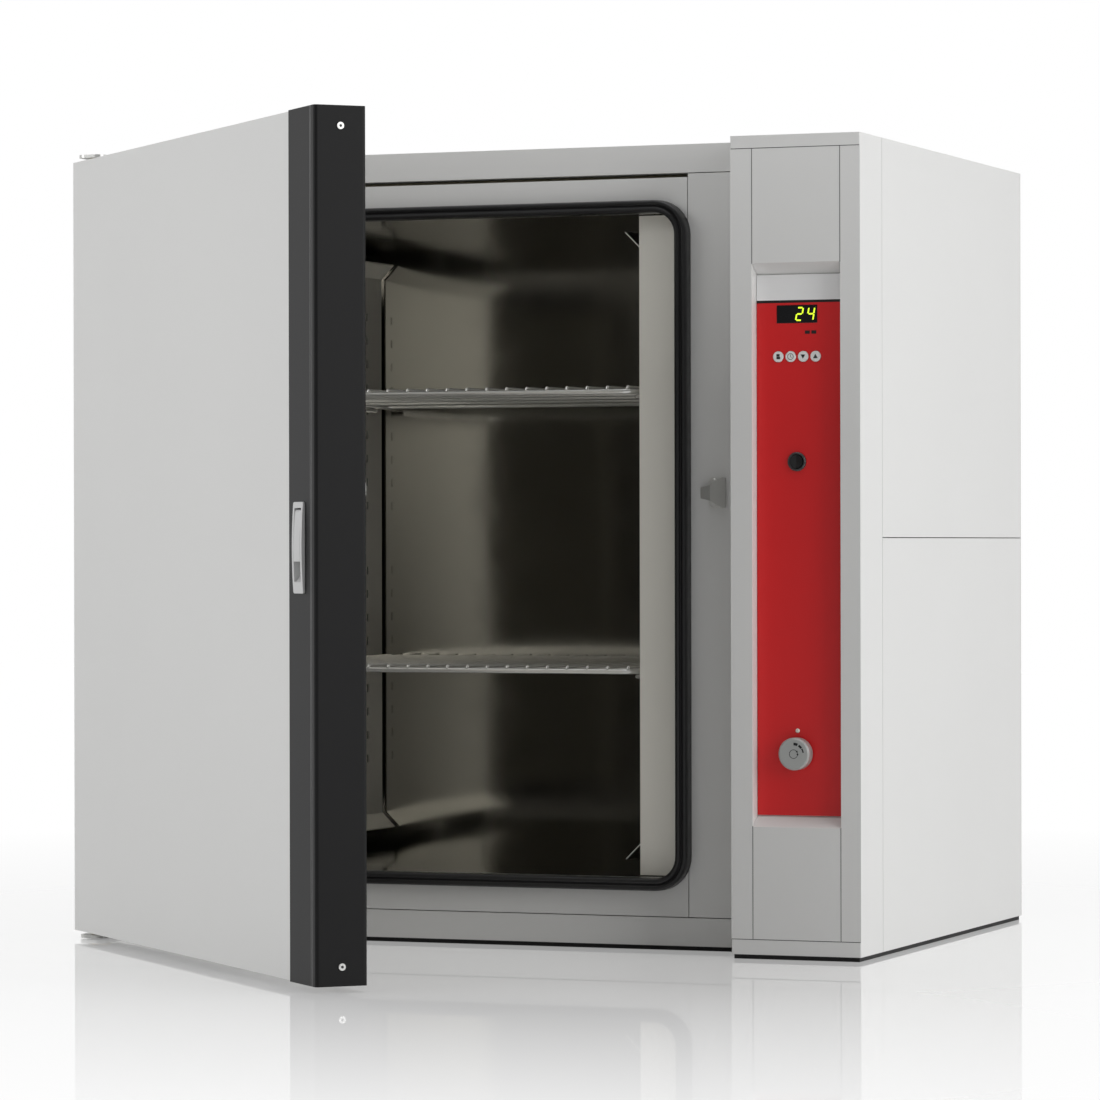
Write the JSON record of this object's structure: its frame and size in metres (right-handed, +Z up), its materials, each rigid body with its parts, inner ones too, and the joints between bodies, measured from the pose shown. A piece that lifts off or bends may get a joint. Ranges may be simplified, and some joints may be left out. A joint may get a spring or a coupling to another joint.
{
  "type": "convection laboratory oven",
  "caption": "Bench-top convection laboratory oven with a side-hung door half open, polished chamber, two wire shelves and a red control panel.",
  "frame": {"origin": "on the bench, under the middle of the cabinet's width and depth, at the feet's underside", "axes": "+X to the right seen from the front, +Y towards the back, +Z up"},
  "size_m": [0.7834, 0.9846, 0.7396],
  "materials": {
    "pale_coat": "fine textured powder coat",
    "zinc": "zinc-coated sheet",
    "polished": "mirror-polished stainless sheet",
    "guide_steel": "satin stainless sheet",
    "wire": "electropolished stainless wire",
    "seal": "soft silicone",
    "base_rubber": "matt",
    "wool": "mineral wool, unseen",
    "fascia_red": "satin printed panel",
    "trim_grey": "fine-grained moulding",
    "black_plastic": "moulded",
    "white_key": "satin moulding",
    "light_grey": "satin moulding",
    "knob_grey": "satin moulding",
    "window": "dark tinted window",
    "lamp": "cream lens",
    "plated": "zinc-plated",
    "nickel": "nickel-plated",
    "motor_case": "die-cast",
    "brass_bush": "turned"
  },
  "bodies": {
    "cabinet": {"base_pan": "zinc", "base_strip": "base_rubber", "left_side_panel": "pale_coat", "right_side_lower": "pale_coat", "right_side_upper": "pale_coat", "top_panel": "pale_coat", "back_panel": "zinc", "top_rail": "pale_coat", "bottom_rail": "pale_coat", "hinge_post": "pale_coat", "striker_post": "pale_coat", "chamber_surround": "pale_coat", "chamber_shell": "polished", "chamber_back_sheet": "polished", "insulation_jacket": "wool", "bay_partition": "zinc", "door_gasket": "seal", "right_air_guide": "guide_steel", "left_air_guide": "guide_steel", "shelf_runners": "wire", "column_left_casing": "pale_coat", "column_right_casing": "pale_coat", "column_top_cap": "pale_coat", "column_base_cap": "pale_coat", "control_insert": "pale_coat", "control_fascia": "fascia_red", "display_lens": "window", "control_unit": "black_plastic", "switch_body": "light_grey", "limit_thermostat": "plated", "pilot_lamp": "lamp", "fan_motor": "motor_case", "heater_element": "plated", "duct_sensors": "guide_steel", "cord_gland": "black_plastic", "vent_spigot": "guide_steel", "hinge_brackets": "plated", "hinge_screws": "nickel", "latch_striker": "plated", "striker_screws": "nickel"},
    "door": {"door_skin": "pale_coat", "door_trim": "trim_grey", "door_liner": "polished", "door_insulation": "wool", "hinge_bushes": "brass_bush", "latch_case": "light_grey", "trim_screws": "nickel"},
    "latch_lever": {"latch_lever": "light_grey"},
    "latch_bolt": {"latch_bolt": "plated"},
    "knob": {"limit_knob": "knob_grey", "knob_spindle": "plated"},
    "rocker": {"switch_rocker": "black_plastic"},
    "menu_key": {"menu_key": "white_key"},
    "timer_key": {"timer_key": "white_key"},
    "down_key": {"down_key": "white_key"},
    "up_key": {"up_key": "white_key"},
    "fan": {"fan_wheel": "guide_steel", "fan_shaft": "plated"},
    "upper_shelf": {"upper_shelf": "wire"},
    "lower_shelf": {"lower_shelf": "wire"}
  },
  "joints": [
    {"name": "door_hinge", "type": "hinge", "parent": "cabinet", "child": "door", "pos_m": [-0.375, -0.271, 0.37], "axis": [0, 0, -1], "range_deg": [-45.3, 74.7]},
    {"name": "lever_pivot", "type": "hinge", "parent": "door", "child": "latch_lever", "pos_m": [0.03247, -0.7119, 0.3945], "axis": [-0.7034, 0.7108, 0], "range_deg": [0, 25], "stiffness_Nm_per_rad": 0.05},
    {"name": "bolt_slide", "type": "slide", "parent": "door", "child": "latch_bolt", "axis": [-0.7034, 0.7108, 0], "range_m": [0, 0.005]},
    {"name": "limit_knob_turn", "type": "hinge", "parent": "cabinet", "child": "knob", "pos_m": [0.322, -0.287, 0.1834], "axis": [0, -1, 0], "range_deg": [-150, 120]},
    {"name": "mains_rocker", "type": "hinge", "parent": "cabinet", "child": "rocker", "pos_m": [0.322, -0.2795, 0.4438], "axis": [0, 0, 1], "range_deg": [0, 16]},
    {"name": "menu_key_press", "type": "slide", "parent": "cabinet", "child": "menu_key", "axis": [0, 1, 0], "range_m": [0, 0.0008], "stiffness_N_per_m": 800},
    {"name": "timer_key_press", "type": "slide", "parent": "cabinet", "child": "timer_key", "axis": [0, 1, 0], "range_m": [0, 0.0008], "stiffness_N_per_m": 800},
    {"name": "down_key_press", "type": "slide", "parent": "cabinet", "child": "down_key", "axis": [0, 1, 0], "range_m": [0, 0.0008], "stiffness_N_per_m": 800},
    {"name": "up_key_press", "type": "slide", "parent": "cabinet", "child": "up_key", "axis": [0, 1, 0], "range_m": [0, 0.0008], "stiffness_N_per_m": 800},
    {"name": "fan_spin", "type": "hinge", "parent": "cabinet", "child": "fan", "pos_m": [0.17, -0.01, 0.37], "axis": [1, 0, 0], "continuous": true},
    {"name": "upper_shelf_slide", "type": "slide", "parent": "cabinet", "child": "upper_shelf", "axis": [0, -1, 0], "range_m": [0, 0.115]},
    {"name": "lower_shelf_slide", "type": "slide", "parent": "cabinet", "child": "lower_shelf", "axis": [0, -1, 0], "range_m": [0, 0.115]}
  ],
  "couplings": [
    {"joint": "bolt_slide", "follows": "lever_pivot", "m_per_rad": 0.011459}
  ]
}
